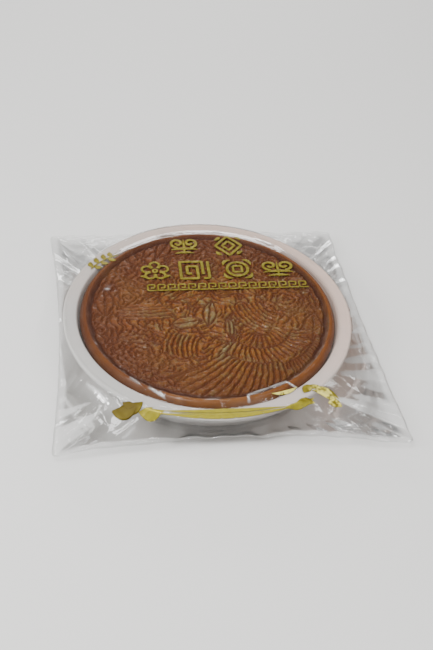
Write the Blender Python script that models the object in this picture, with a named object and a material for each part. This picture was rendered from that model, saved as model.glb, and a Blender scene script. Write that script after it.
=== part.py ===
"""A large round mooncake in its own plastic tray, sealed in a clear film bag.

Three pieces, each one closed solid: the mooncake with its embossed top, the shallow
flanged tray that it sits in, and the loose skirt of the film bag round that tray.
Metres, +Z up. The origin is the centre of the tray's underside, and the sides of the
bag lie along X and Y.
"""
import math

import bmesh
import bpy
import numpy as np
from mathutils import Vector
from mathutils.geometry import delaunay_2d_cdt

MM = 0.001

# Tray, in millimetres: a turned dish with a flat flange and a lip turned down at its edge
TRAY_RADIUS = 112.0
TRAY_MOUTH_RADIUS = 101.0
TRAY_FOOT_RADIUS = 97.0
TRAY_HEIGHT = 25.0
TRAY_WALL = 0.8
TRAY_LIP = 3.6
TRAY_RIB_RADIUS = 60.0
TRAY_RIB_WIDTH = 5.0
TRAY_RIB_HEIGHT = 1.2
TRAY_SEGMENTS = 64

# Mooncake, in millimetres: straight pressed sides, a rounded shoulder and a scalloped panel
FIT_GAP = 0.35
CAKE_RADIUS = 99.3
CAKE_FOOT_RADIUS = 96.0
CAKE_SHOULDER_Z = 20.5
CAKE_RIM_Z = 27.0
CAKE_RIM_RADIUS = 94.6
PANEL_RADIUS = 92.0
PANEL_SCALLOPS = 20
PANEL_SCALLOP_DEPTH = 1.0
CAKE_SEGMENTS = 80

# Relief of the panel, in millimetres
GROOVE_Z = 25.2
RIDGE_Z = 27.0
RIDGE_HALF_WIDTH = 2.0
DRAWING_TURN = -4.4
STROKE_STEP = 5.6
PETAL_RIDGE_INSET = 2.2
PETAL_SLIT = 3.2
SHORTEST_STROKE = 2.4
WELD_DISTANCE = 1.1
GROUND_SPACING = 6.0
GROUND_CLEARANCE = 2.4

# Film bag, in millimetres: four corners of the flat pouch, seen from above
BAG_CORNERS = ((137.0, -127.0), (121.0, 121.0), (-123.0, 122.0), (-121.0, -124.0))
BAG_SIDE_PULL = (9.0, 4.0, 5.0, 7.0)
BAG_SIDE_STEPS = 16
BAG_CORNER_Z = 5.5
BAG_SIDE_Z = 11.0
BAG_SEAL_WIDTH = 6.0
BAG_SEAL_THICKNESS = 0.9
BAG_GATHER_COUNT = 14
BAG_GATHER_HEIGHT = 1.1


# ---------------------------------------------------------------- line drawing of the relief

def arc(x, y, radius, start, end):
    """Points about a millimetre apart on part of a circle, with angles in degrees."""
    count = max(3, int(abs(math.radians(end - start)) * radius) + 1)
    angle = np.radians(np.linspace(start, end, count))
    return np.column_stack((x + radius * np.cos(angle), y + radius * np.sin(angle)))


def bow(start, end, bulge=0.0):
    """A line from start to end that bulges to its left by a share of its length."""
    start, end = np.array(start, float), np.array(end, float)
    span = end - start
    share = np.linspace(0, 1, max(3, int(np.hypot(*span)) + 1))[:, None]
    left = np.array((-span[1], span[0]))
    return start + share * span + 4 * bulge * share * (1 - share) * left


def polar(x, y, radius, angle):
    """The point at a radius and an angle in degrees from (x, y)."""
    return np.array((x + radius * math.cos(math.radians(angle)), y + radius * math.sin(math.radians(angle))))


def in_sector(x, y, inner, outer, start, end):
    """Whether points lie in a sector of a ring."""
    def inside(points):
        away = points - (x, y)
        radius = np.hypot(away[:, 0], away[:, 1])
        angle = (np.degrees(np.arctan2(away[:, 1], away[:, 0])) - start) % 360
        return (radius > inner) & (radius < outer) & (angle < end - start)
    return inside


def in_oval(x, y, length, width, turn=0.0):
    """Whether points lie in an ellipse of that length and width."""
    turned = math.radians(turn)

    def inside(points):
        away = points - (x, y)
        along = away[:, 0] * math.cos(turned) + away[:, 1] * math.sin(turned)
        across = away[:, 1] * math.cos(turned) - away[:, 0] * math.sin(turned)
        return np.hypot(2 * along / length, 2 * across / width) < 1
    return inside


# Each motif is a triple: its grooves, the crests between them, and a test for the area it covers.

def feathers(x, y, inner, outer, start, end, count, sweep):
    """A fan of long feathers with round inner ends, each swept sideways as it runs out."""
    pitch = (end - start) / count

    def ray(place, first):
        root = polar(x, y, first, start + place * pitch)
        return bow(root, polar(x, y, outer, start + place * pitch + sweep), -sweep / 220)

    cap = math.radians(pitch) * inner / 2
    grooves = [ray(index, inner) for index in range(count + 1)]
    for index in range(count):
        middle = start + (index + 0.5) * pitch
        grooves.append(arc(*polar(x, y, inner, middle), cap, middle + 95, middle + 265))
    crests = [ray(index + 0.5, inner - cap * 0.3) for index in range(count)]
    return grooves, crests, in_sector(x, y, inner - cap, outer, start - 2, end + 2)


def quills(x, y, inner, outer, start, end, count):
    """A wing of nested quills, which are arcs about one far centre."""
    radii = np.linspace(inner, outer, 2 * count - 1)
    grooves = [arc(x, y, radius, start, end) for radius in radii[::2]]
    crests = [arc(x, y, radius, start, end) for radius in radii[1::2]]
    return grooves, crests, in_sector(x, y, inner, outer, start, end)


def petal_ring(x, y, radius, width, turn):
    """One ring of round petals about (x, y): the grooves round and between them, and their ridges."""
    count = max(6, round(2 * math.pi * radius / width))
    grooves, crests = [], []
    for index in range(count):
        start, end = (turn + (index + side) * 360 / count for side in (0, 1))
        notch = radius - 0.2 * width
        grooves.append(bow(polar(x, y, notch, start), polar(x, y, notch, end), -0.27))
        grooves.append(bow(polar(x, y, notch, start), polar(x, y, notch - PETAL_SLIT, start)))
        ridge = radius - PETAL_RIDGE_INSET
        inset = 0.22 * (end - start)
        crests.append(bow(polar(x, y, ridge - 0.6, start + inset), polar(x, y, ridge - 0.6, end - inset), -0.16))
    return grooves, crests


def peony(x, y, rings, size, turn):
    """Overlapping rings of petals about a small round heart, wider towards the outside."""
    grooves, crests = [], []
    for ring in range(1, rings + 1):
        edge, ridge = petal_ring(x, y, size * ring, size * (0.9 + 0.13 * ring), turn + 23 * ring)
        grooves += edge
        crests += ridge
    return grooves, crests, in_oval(x, y, 2 * size * rings, 2 * size * rings)


def leaf(x, y, length, width, turn):
    """A pointed leaf with a midrib."""
    stem, tip = polar(x, y, -length / 2, turn), polar(x, y, length / 2, turn)
    bulge = width / length / 2
    grooves = [bow(stem, tip, bulge), bow(stem, tip, -bulge), bow(stem, tip)]
    crests = [bow(stem, tip, bulge / 2), bow(stem, tip, -bulge / 2)]
    return grooves, crests, in_oval(x, y, length, width, turn)


def comb(x, y, length, pitch, count, turn, bulge):
    """Lines side by side along the direction turn, such as the down on a neck."""
    def line(place):
        middle = polar(x, y, pitch * place, turn + 90)
        return bow(polar(*middle, -length / 2, turn), polar(*middle, length / 2, turn), bulge)

    half = (count - 1) / 2
    grooves = [line(place - half) for place in range(count)]
    crests = [line(place - half + 0.5) for place in range(count - 1)]
    return grooves, crests, in_oval(x, y, length * 1.1, pitch * count * 1.1, turn)


def petal_ground(outer, size):
    """Rings of petals about the middle of the panel, which fill what the other motifs leave."""
    grooves, crests = [], []
    for ring, radius in enumerate(np.arange(outer, size, -size)):
        edge, ridge = petal_ring(0, 0, radius, size * 1.15, 11 * ring)
        grooves += edge
        crests += ridge
    return grooves, crests, in_oval(0, 0, 0.1, 0.1)


def motifs():
    """The whole drawing, front motifs first: a phoenix with a fanned tail among peonies."""
    yield quills(62, 17, 21, 46, 192, 246, 8)
    yield feathers(38, -14, 43, 88, 229, 338, 16, -5)
    yield feathers(38, -14, 27, 39, 226, 350, 12, 0)
    yield feathers(38, -14, 12, 24, 232, 352, 6, 0)
    yield leaf(1, -2, 30, 10, 84)
    yield leaf(-17, -13, 25, 13, 14)
    yield leaf(8, -45, 25, 11, 62)
    yield leaf(16, -17, 25, 7, 96)
    yield comb(-20, -38, 20, 4.2, 7, 82, 0.06)
    yield comb(-49, -2, 42, 4.4, 5, 4, -0.03)
    yield peony(-52, -48, 4, 7.6, 10)
    yield peony(62, 17, 3, 6.8, 8)
    yield peony(-47, 38, 4, 7.2, 25)
    yield peony(2, 60, 4, 6.8, 40)
    yield peony(51, 57, 3, 7.2, 5)
    yield leaf(-10, -72, 38, 15, 28)
    yield leaf(-20, -86, 34, 11, 168)
    yield leaf(81, -14, 34, 14, 82)
    yield leaf(84, 20, 30, 12, 100)
    yield leaf(22, 33, 34, 13, 14)
    yield leaf(-13, 17, 32, 13, 24)
    yield leaf(-80, 8, 32, 14, 96)
    yield leaf(-82, -24, 28, 12, 112)
    yield leaf(-72, 60, 28, 12, 48)
    yield leaf(-34, 77, 32, 12, 66)
    yield leaf(30, 82, 34, 12, 152)
    yield leaf(80, 44, 30, 12, 118)
    yield petal_ground(91, 7.4)


def runs(stroke, allowed):
    """The stretches of a stroke whose points are allowed, without the shortest ones."""
    edges = np.flatnonzero(np.diff(np.concatenate(([0], allowed.astype(int), [0]))))
    for first, last in zip(edges[::2], edges[1::2]):
        piece = stroke[first:last]
        if len(piece) > 1 and np.hypot(*np.diff(piece, axis=0).T).sum() > SHORTEST_STROKE:
            yield piece


def drawing():
    """Every groove and every crest as a polyline, cut short where a motif in front covers it."""
    turned = math.radians(DRAWING_TURN)
    spin = np.array(((math.cos(turned), math.sin(turned)), (-math.sin(turned), math.cos(turned))))
    claimed, drawn = [], ([], [])
    limit = PANEL_RADIUS - PANEL_SCALLOP_DEPTH - 2.2
    for *strokes, inside in motifs():
        for lines, group in zip(drawn, strokes):
            for stroke in group:
                free = np.hypot(stroke[:, 0], stroke[:, 1]) < limit
                for earlier in claimed:
                    free &= ~earlier(stroke)
                lines.extend(piece @ spin for piece in runs(stroke, free))
        claimed.append(inside)
    return drawn


def resampled(line, step):
    """The polyline again with points about step apart."""
    length = np.concatenate(([0], np.cumsum(np.hypot(*np.diff(line, axis=0).T))))
    at = np.linspace(0, length[-1], max(2, round(length[-1] / step) + 1))
    return np.column_stack((np.interp(at, length, line[:, 0]), np.interp(at, length, line[:, 1])))


def distance_to(segments, points):
    """How far each point is from the nearest of the segments."""
    start, span = segments[:, 0], segments[:, 1] - segments[:, 0]
    squared = np.maximum((span ** 2).sum(axis=1), 1e-9)
    nearest = np.empty(len(points))
    for first in range(0, len(points), 500):
        part = points[first:first + 500, None]
        share = np.clip(((part - start) * span).sum(axis=2) / squared, 0, 1)
        gap = part - start - share[..., None] * span
        nearest[first:first + 500] = np.hypot(gap[..., 0], gap[..., 1]).min(axis=1)
    return nearest


def segments_of(lines):
    """The segments of all the polylines as one array."""
    return np.array([pair for line in lines for pair in zip(line, line[1:])])


def spare_points(segments, limit):
    """A sparse lattice of points for the open ground between the strokes."""
    rows = np.arange(-limit, limit, GROUND_SPACING * 0.866)
    columns = np.arange(-limit, limit, GROUND_SPACING)
    grid = np.array([
        (x + GROUND_SPACING / 2 * (index % 2), y) for index, y in enumerate(rows) for x in columns
    ])
    grid = grid[np.hypot(grid[:, 0], grid[:, 1]) < limit]
    return grid[distance_to(segments, grid) > GROUND_CLEARANCE]


def relief_z(clear):
    """Height of the panel at a distance from the nearest groove: a round-shouldered ridge."""
    share = np.clip(clear / RIDGE_HALF_WIDTH, 0, 1)
    return GROOVE_Z + (RIDGE_Z - GROOVE_Z) * np.sqrt(1 - (1 - share) ** 2)


def panel_radius(angle):
    """Radius of the scalloped edge of the panel."""
    lobe = np.abs(np.sin(angle * PANEL_SCALLOPS / 2))
    return PANEL_RADIUS - PANEL_SCALLOP_DEPTH * (1 - lobe)


# ---------------------------------------------------------------- solids

def add_object(name, mesh_builder, colour, roughness, alpha=1.0):
    """Links a new object whose mesh comes from a bmesh in millimetres."""
    bmesh.ops.recalc_face_normals(mesh_builder, faces=mesh_builder.faces)
    bmesh.ops.scale(mesh_builder, vec=Vector((MM, MM, MM)), verts=mesh_builder.verts)
    mesh = bpy.data.meshes.new(name)
    mesh_builder.to_mesh(mesh)
    mesh_builder.free()
    mesh.shade_smooth()
    mesh.set_sharp_from_angle(angle=math.radians(40))
    thing = bpy.data.objects.new(name, mesh)
    bpy.context.scene.collection.objects.link(thing)
    material = bpy.data.materials.new(name + "_material")
    material.use_nodes = True
    shader = material.node_tree.nodes["Principled BSDF"]
    shader.inputs["Base Color"].default_value = (*colour, 1.0)
    shader.inputs["Roughness"].default_value = roughness
    shader.inputs["Alpha"].default_value = alpha
    mesh.materials.append(material)
    return thing


def ring_of_vertices(builder, radius, z, segments):
    """A closed ring of vertices. radius is a number or a function of the angle."""
    ring = []
    for index in range(segments):
        angle = 2 * math.pi * index / segments
        reach = radius(angle) if callable(radius) else radius
        ring.append(builder.verts.new((reach * math.cos(angle), reach * math.sin(angle), z)))
    return ring


def skin(builder, lower, upper):
    """Quads between two rings with the same number of vertices."""
    for index in range(len(lower)):
        after = (index + 1) % len(lower)
        builder.faces.new((lower[index], lower[after], upper[after], upper[index]))


def make_tray():
    """A thin turned dish: flat base with one rib, sloping wall, flange and turned-down lip."""
    rib_end = TRAY_RIB_RADIUS + TRAY_RIB_WIDTH
    outside = [
        (TRAY_RIB_RADIUS, 0.0),
        (TRAY_RIB_RADIUS + 1.2, TRAY_RIB_HEIGHT),
        (rib_end - 1.2, TRAY_RIB_HEIGHT),
        (rib_end, 0.0),
        (TRAY_FOOT_RADIUS - 2.0, 0.0),
        (TRAY_FOOT_RADIUS + TRAY_WALL - 0.3, 2.2),
        (TRAY_MOUTH_RADIUS + TRAY_WALL, TRAY_HEIGHT - TRAY_WALL - 0.6),
        (TRAY_RADIUS - TRAY_WALL, TRAY_HEIGHT - TRAY_WALL - 0.3),
        (TRAY_RADIUS - TRAY_WALL, TRAY_HEIGHT - TRAY_LIP),
        (TRAY_RADIUS, TRAY_HEIGHT - TRAY_LIP),
        (TRAY_RADIUS - 0.1, TRAY_HEIGHT - 0.8),
        (TRAY_RADIUS - 1.2, TRAY_HEIGHT),
    ]
    inside = [
        (TRAY_MOUTH_RADIUS + 1.0, TRAY_HEIGHT),
        (TRAY_MOUTH_RADIUS, TRAY_HEIGHT - 1.0),
        (TRAY_FOOT_RADIUS - 0.3, 2.6),
        (TRAY_FOOT_RADIUS - 2.4, TRAY_WALL),
        (rib_end + 0.5, TRAY_WALL),
        (rib_end - 0.7, TRAY_RIB_HEIGHT + TRAY_WALL),
        (TRAY_RIB_RADIUS + 0.7, TRAY_RIB_HEIGHT + TRAY_WALL),
        (TRAY_RIB_RADIUS - 0.5, TRAY_WALL),
    ]
    builder = bmesh.new()
    rings = [ring_of_vertices(builder, radius, z, TRAY_SEGMENTS) for radius, z in outside + inside]
    for lower, upper in zip(rings, rings[1:]):
        skin(builder, lower, upper)
    builder.faces.new(rings[0])
    builder.faces.new(rings[-1])
    bmesh.ops.triangulate(builder, faces=[face for face in builder.faces if len(face.verts) > 4])
    return add_object("tray", builder, (0.52, 0.49, 0.47), 0.35)


def make_mooncake():
    """A pressed disc: sides and rounded shoulder turned, the panel triangulated from its relief."""
    grooves, crests = ([resampled(line, STROKE_STEP) for line in lines] for lines in drawing())
    cuts = segments_of(grooves)
    ground = spare_points(segments_of(grooves + crests), PANEL_RADIUS - PANEL_SCALLOP_DEPTH - 2.6)

    angles = 2 * math.pi * np.arange(CAKE_SEGMENTS) / CAKE_SEGMENTS
    points = list(panel_radius(angles)[:, None] * np.column_stack((np.cos(angles), np.sin(angles))))
    joints = []
    for line in grooves + crests:
        chain = []
        for point in line:
            gaps = np.hypot(*(np.array(points) - point).T)
            nearest = int(gaps.argmin())
            if gaps[nearest] > WELD_DISTANCE:
                nearest = len(points)
                points.append(point)
            chain.append(nearest)
        joints += [(first, last) for first, last in zip(chain, chain[1:]) if first != last]
    points = [Vector(point) for point in points + list(ground)]
    flat, _, faces, *_ = delaunay_2d_cdt(points, joints, [list(range(CAKE_SEGMENTS))], 1, 0.02)

    flat = np.array([tuple(point) for point in flat])
    height = relief_z(distance_to(cuts, flat))
    on_edge = np.hypot(flat[:, 0], flat[:, 1]) > panel_radius(np.arctan2(flat[:, 1], flat[:, 0])) - 0.05
    height[on_edge] = GROOVE_Z
    builder = bmesh.new()
    panel = [builder.verts.new((x, y, z)) for (x, y), z in zip(flat, height)]
    for face in faces:
        builder.faces.new([panel[index] for index in face])

    floor = TRAY_WALL + TRAY_RIB_HEIGHT + FIT_GAP
    profile = [
        (lambda angle: 0.5 * (panel_radius(angle) + CAKE_RIM_RADIUS), CAKE_RIM_Z - 0.25),
        (CAKE_RIM_RADIUS, CAKE_RIM_Z),
        (CAKE_RADIUS - 1.4, CAKE_RIM_Z - 2.4),
        (CAKE_RADIUS, CAKE_SHOULDER_Z),
        (CAKE_FOOT_RADIUS + 0.3, 4.5),
        (CAKE_FOOT_RADIUS - 1.6, floor),
    ]
    border = sorted(
        {vertex for edge_ in builder.edges if edge_.is_boundary for vertex in edge_.verts},
        key=lambda vertex: math.atan2(vertex.co.y, vertex.co.x) % (2 * math.pi),
    )
    rings = [border]
    rings += [ring_of_vertices(builder, radius, z, CAKE_SEGMENTS) for radius, z in profile]
    for upper, lower in zip(rings, rings[1:]):
        skin(builder, lower, upper)
    builder.faces.new(rings[-1])
    bmesh.ops.triangulate(builder, faces=[face for face in builder.faces if len(face.verts) > 4])
    return add_object("mooncake", builder, (0.145, 0.060, 0.030), 0.5)


def bag_edge():
    """Points along the bag's sealed edge from above, each with its height and how near a corner it is."""
    points = []
    for index, pull in enumerate(BAG_SIDE_PULL):
        start = np.array(BAG_CORNERS[index - 1])
        end = np.array(BAG_CORNERS[index])
        span = end - start
        inward = np.array((-span[1], span[0])) / np.hypot(*span)
        for step in range(BAG_SIDE_STEPS):
            share = step / BAG_SIDE_STEPS
            middle = 4 * share * (1 - share)
            place = start + share * span + inward * pull * middle
            z = BAG_CORNER_Z + (BAG_SIDE_Z - BAG_CORNER_Z) * math.sqrt(middle)
            points.append((place, z + 0.9 * math.sin(2 * math.pi * 3 * share + index)))
    return points


def make_film_bag():
    """The film beyond the tray: upper and lower sheets that meet in a flat seal all round."""
    builder = bmesh.new()
    rings = []
    edge = bag_edge()
    gap = FIT_GAP
    lip_z = TRAY_HEIGHT - TRAY_LIP - gap
    for index, (place, seal_z) in enumerate(edge):
        reach = math.hypot(*place)
        outward = place / reach
        start = TRAY_RADIUS + gap
        seal = reach - BAG_SEAL_WIDTH * min(1.0, (reach - start) / (3 * BAG_SEAL_WIDTH))
        gather = BAG_GATHER_HEIGHT * math.sin(2 * math.pi * BAG_GATHER_COUNT * index / len(edge))
        half = BAG_SEAL_THICKNESS / 2
        section = [(start, TRAY_HEIGHT - 0.5)]
        for share in (0.22, 0.5, 0.78):
            fall = (1 - share) ** 1.15
            z = seal_z + (TRAY_HEIGHT - 0.5 - seal_z) * fall + gather * math.sin(math.pi * share)
            section.append((start + share * (seal - start), z))
        section += [(seal, seal_z + half), (reach, seal_z + half), (reach, seal_z - half), (seal, seal_z - half)]
        foot = TRAY_FOOT_RADIUS + TRAY_WALL
        for share in (0.6, 0.3):
            z = 0.6 + (seal_z - half - 0.6) * share ** 1.2
            section.append((foot + 1.0 + share * (seal - foot - 1.0), z - 0.3 * gather * share))
        section += [
            (foot + 0.2, 0.5),
            (foot + gap + 0.4, 2.2),
            (TRAY_MOUTH_RADIUS + TRAY_WALL + gap, lip_z),
            (start, lip_z),
        ]
        rings.append([builder.verts.new((*(outward * radius), z)) for radius, z in section])
    for ring, after in zip(rings, rings[1:] + rings[:1]):
        skin(builder, ring, after)
    return add_object("film_bag", builder, (0.80, 0.78, 0.74), 0.12, 0.35)


def main():
    for thing in list(bpy.data.objects):
        bpy.data.objects.remove(thing, do_unlink=True)
    make_mooncake()
    make_tray()
    make_film_bag()


main()
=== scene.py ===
# %% [markdown]
# # A festival mooncake in its tray and film bag
# A large pressed mooncake sits in a shallow plastic tray, and both are sealed in a clear film
# bag with a little gold printing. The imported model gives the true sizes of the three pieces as
# plain solids. This lesson dresses each of them: a finely embossed and baked crust, a milky
# turned tray, a thin bag that creases, and the gold print that follows the film.

import math

import bpy
import numpy as np
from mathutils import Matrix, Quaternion, Vector


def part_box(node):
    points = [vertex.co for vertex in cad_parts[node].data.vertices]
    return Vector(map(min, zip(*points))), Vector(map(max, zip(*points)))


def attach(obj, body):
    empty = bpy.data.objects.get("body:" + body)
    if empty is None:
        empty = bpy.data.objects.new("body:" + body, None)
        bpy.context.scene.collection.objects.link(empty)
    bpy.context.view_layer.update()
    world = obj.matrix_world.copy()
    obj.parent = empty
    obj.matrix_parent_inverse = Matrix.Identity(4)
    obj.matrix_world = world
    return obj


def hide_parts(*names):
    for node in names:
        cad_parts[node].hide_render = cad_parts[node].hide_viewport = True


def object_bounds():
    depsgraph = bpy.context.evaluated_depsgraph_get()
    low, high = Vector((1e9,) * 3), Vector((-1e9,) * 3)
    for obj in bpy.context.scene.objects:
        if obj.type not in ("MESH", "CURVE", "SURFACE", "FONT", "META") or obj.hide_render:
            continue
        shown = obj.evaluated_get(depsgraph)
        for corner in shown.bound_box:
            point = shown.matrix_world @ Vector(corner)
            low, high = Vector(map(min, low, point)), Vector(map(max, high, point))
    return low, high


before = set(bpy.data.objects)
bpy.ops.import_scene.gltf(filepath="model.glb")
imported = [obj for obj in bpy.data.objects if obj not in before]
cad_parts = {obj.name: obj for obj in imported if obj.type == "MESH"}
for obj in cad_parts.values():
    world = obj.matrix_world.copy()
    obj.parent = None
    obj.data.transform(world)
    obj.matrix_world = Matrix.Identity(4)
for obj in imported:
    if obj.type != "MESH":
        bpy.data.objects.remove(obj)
cad_low, cad_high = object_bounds()
MM = 0.001
print("CAD box in mm:", [round(side / MM, 1) for side in cad_high - cad_low])

# %% Sizes that everything below starts from, in millimetres
cake_low, cake_high = (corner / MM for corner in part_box("mooncake"))
tray_low, tray_high = (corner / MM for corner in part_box("tray"))
bag_low, bag_high = (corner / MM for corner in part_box("film_bag"))
CAKE_RADIUS = cake_high.x
CAKE_TOP = cake_high.z
TRAY_RADIUS = tray_high.x
TRAY_TOP = tray_high.z
PANEL_RADIUS = CAKE_RADIUS - 7.3
RIM_RADIUS = CAKE_RADIUS - 4.7
print("cake radius and top:", round(CAKE_RADIUS, 1), round(CAKE_TOP, 1))
print("tray radius and top:", round(TRAY_RADIUS, 1), round(TRAY_TOP, 1))

# %% [markdown]
# ## The camera
# The pack is seen from in front and above, a little from its left, and the camera leans a few
# degrees. Distance sets how strongly the near side grows, so distance and lens are kept apart:
# the lens only decides how much of the frame the pack fills.

# %% Camera
VIEW_AZIMUTH = -9.6
VIEW_ELEVATION = 42.6
VIEW_DISTANCE = 0.827
VIEW_ROLL = 4.8
VIEW_LENS = 58.5


def place_camera(target):
    """A camera that looks at the target from the view angles, rolled about its own axis."""
    turn, rise = math.radians(VIEW_AZIMUTH), math.radians(VIEW_ELEVATION)
    back = Vector((math.sin(turn) * math.cos(rise), -math.cos(turn) * math.cos(rise), math.sin(rise)))
    camera = bpy.data.objects.new("camera", bpy.data.cameras.new("camera"))
    bpy.context.scene.collection.objects.link(camera)
    camera.location = target + back * VIEW_DISTANCE
    camera.rotation_mode = "QUATERNION"
    level = (-back).to_track_quat("-Z", "Y")
    camera.rotation_quaternion = level @ Quaternion((0, 0, 1), math.radians(VIEW_ROLL))
    camera.data.lens = VIEW_LENS
    camera.data.sensor_width = 36
    bpy.context.scene.camera = camera
    return camera


camera = place_camera((cad_low + cad_high) / 2)
print("camera at", [round(value, 3) for value in camera.location])

# %% [markdown]
# ## Sums with sockets
# Materials and Geometry Nodes both need arithmetic, and one node for every plus sign is hard to
# read. A small class wraps an output socket so that Python's own operators add the Math nodes.
# One method makes every other kind of node: its settings are set first, because they decide
# which sockets the node shows, and then its sockets get their values or links.

# %% Wire: an output socket that does arithmetic
class Wire:
    def __init__(self, graph, socket):
        self.graph, self.socket = graph, socket

    def calc(self, operation, *values):
        made = self.graph.add("ShaderNodeMath", {"operation": operation}, dict(enumerate(values)))
        return made[0]

    def __add__(self, other):
        return self.calc("ADD", self, other)

    def __sub__(self, other):
        return self.calc("SUBTRACT", self, other)

    def __mul__(self, other):
        return self.calc("MULTIPLY", self, other)

    def __truediv__(self, other):
        return self.calc("DIVIDE", self, other)

    def __pow__(self, other):
        return self.calc("POWER", self, other)

    def __rsub__(self, other):
        return self.calc("SUBTRACT", other, self)

    def __neg__(self):
        return self.calc("MULTIPLY", self, -1.0)

    def __abs__(self):
        return self.calc("ABSOLUTE", self)

    __radd__ = __add__
    __rmul__ = __mul__

    def over(self, limit):
        """1 where the value is above the limit, and 0 elsewhere."""
        return self.calc("GREATER_THAN", self, limit)

    def ramp(self, low, high, start=0.0, end=1.0, kind="SMOOTHSTEP"):
        """Runs from start to end as the value runs from low to high, and stays within them."""
        settings = {"interpolation_type": kind}
        sockets = {"Value": self, "From Min": low, "From Max": high, "To Min": start, "To Max": end}
        return self.graph.add("ShaderNodeMapRange", settings, sockets)[0]

    def part(self, axis):
        """One coordinate of a vector."""
        return self.graph.add("ShaderNodeSeparateXYZ", None, {0: self})[axis]


# %% Graph: the one method that makes nodes
class Made:
    """A node just made, whose outputs are read by name or by number."""

    def __init__(self, graph, node):
        self.graph, self.node = graph, node

    def __getitem__(self, key):
        live = [socket for socket in self.node.outputs if socket.enabled]
        found = live[key] if isinstance(key, int) else next(s for s in live if s.name == key)
        return Wire(self.graph, found)


class Graph:
    def __init__(self, tree):
        self.tree = tree

    def add(self, kind, settings=None, sockets=None):
        node = self.tree.nodes.new(kind)
        for name, value in (settings or {}).items():
            setattr(node, name, value)
        live = [socket for socket in node.inputs if socket.enabled]
        for key, value in (sockets or {}).items():
            socket = live[key] if isinstance(key, int) else next(s for s in live if s.name == key)
            self.feed(socket, value)
        return Made(self, node)

    def feed(self, socket, value):
        if isinstance(value, Wire):
            self.tree.links.new(value.socket, socket)
        elif socket.type == "RGBA" and len(value) == 3:
            socket.default_value = (*value, 1.0)
        else:
            socket.default_value = value

    def vector(self, x, y, z):
        return self.add("ShaderNodeCombineXYZ", None, {0: x, 1: y, 2: z})[0]

    def vectors(self, operation, *values):
        return self.add("ShaderNodeVectorMath", {"operation": operation}, dict(enumerate(values)))[0]

    def scaled(self, vector, factor):
        """A vector made longer or shorter by a factor."""
        return self.add("ShaderNodeVectorMath", {"operation": "SCALE"}, {0: vector, "Scale": factor})[0]

    def attribute(self, name):
        """A value that was stored on the shape's points."""
        return self.add("ShaderNodeAttribute", {"attribute_name": name})["Fac"]

    def moved(self, shape, place, **chosen):
        """A shape whose points are put at new places."""
        return self.add("GeometryNodeSetPosition", None, {"Geometry": shape, **chosen, "Position": place})[0]

    def stored(self, shape, name, value, **chosen):
        """A shape that carries a named value on its points."""
        sockets = {"Geometry": shape, **chosen, "Name": name, "Value": value}
        return self.add("GeometryNodeStoreNamedAttribute", None, sockets)[0]

    def smoothed(self, shape):
        """A shape with soft shading."""
        return self.add("GeometryNodeSetShadeSmooth", None, {"Geometry": shape, "Shade Smooth": True})[0]

    def blend(self, share, first, second):
        """A colour between two colours."""
        sockets = {"Factor": share, "A": first, "B": second}
        return self.add("ShaderNodeMix", {"data_type": "RGBA"}, sockets)["Result"]

    def noise(self, where, scale, detail=3.0, rough=0.55, seed=0.0):
        """Cloudy noise from 0 to 1 at so many blotches to the metre."""
        settings = {"noise_dimensions": "4D"}
        sockets = {"Vector": where, "W": seed, "Scale": scale, "Detail": detail, "Roughness": rough}
        return self.add("ShaderNodeTexNoise", settings, sockets)[0]


# %% [markdown]
# ## Trees, materials and finished pieces
# A Geometry Nodes modifier is told its sizes before it first runs. Its result is then copied to a
# plain mesh, which is what the rest of the lesson works on.

# %% Helpers that start a tree, a material and a piece
SHAPES = {float: "NodeSocketFloat", int: "NodeSocketInt"}
SHAPES |= {bpy.types.Object: "NodeSocketObject", bpy.types.Material: "NodeSocketMaterial"}


def shape_tree(title, values):
    """A Geometry Nodes graph with one named input for each value, and the wires from them."""
    tree = bpy.data.node_groups.new(title, "GeometryNodeTree")
    tree.interface.new_socket("Geometry", in_out="OUTPUT", socket_type="NodeSocketGeometry")
    for name, value in values.items():
        tree.interface.new_socket(name, in_out="INPUT", socket_type=SHAPES[type(value)])
    graph = Graph(tree)
    return graph, graph.add("NodeGroupInput")


def grown(name, graph, values, shape, material):
    """Ends the tree, runs it on a new object and keeps the result as a plain mesh."""
    real = graph.add("GeometryNodeRealizeInstances", None, {"Geometry": shape})[0]
    dressed = graph.add("GeometryNodeSetMaterial", None, {"Geometry": real, "Material": material})[0]
    graph.add("NodeGroupOutput", None, {"Geometry": dressed})
    piece = bpy.data.objects.new(name, bpy.data.meshes.new(name))
    bpy.context.scene.collection.objects.link(piece)
    modifier = piece.modifiers.new(graph.tree.name, "NODES")
    modifier.node_group = graph.tree
    for item in graph.tree.interface.items_tree:
        if item.in_out == "INPUT":
            modifier[item.identifier] = values[item.name]
    reader = bpy.context.evaluated_depsgraph_get()
    mesh = bpy.data.meshes.new_from_object(piece.evaluated_get(reader))
    piece.modifiers.clear()
    piece.data = mesh
    mesh.name = name
    mesh.validate()
    print(name, "has", sum(len(face.vertices) - 2 for face in mesh.polygons), "triangles")
    return piece


def new_material(title):
    """A material's graph, with its first nodes cleared away."""
    material = bpy.data.materials.new(title)
    material.use_nodes = True
    material.node_tree.nodes.clear()
    return material, Graph(material.node_tree)


def surface(graph, shader):
    graph.add("ShaderNodeOutputMaterial", None, {"Surface": shader})


def guide(name, points, edges):
    """A mesh of points and edges only, which steers a tree and is removed after it."""
    mesh = bpy.data.meshes.new(name)
    mesh.from_pydata([tuple(point) for point in points], edges, [])
    thing = bpy.data.objects.new(name, mesh)
    bpy.context.scene.collection.objects.link(thing)
    return thing


# %% [markdown]
# ## Drawing the relief
# The top of the cake is pressed in a carved mould: a phoenix with a fanned tail among peonies and
# leaves. A carver works with a few kinds of stroke, so the drawing is made from the same kinds:
# fans of feathers, wings of quills, rings of petals, leaves and combs of lines. Each motif gives
# its deep grooves, its fine hair lines, and the area where it hides the motifs behind it.

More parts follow.
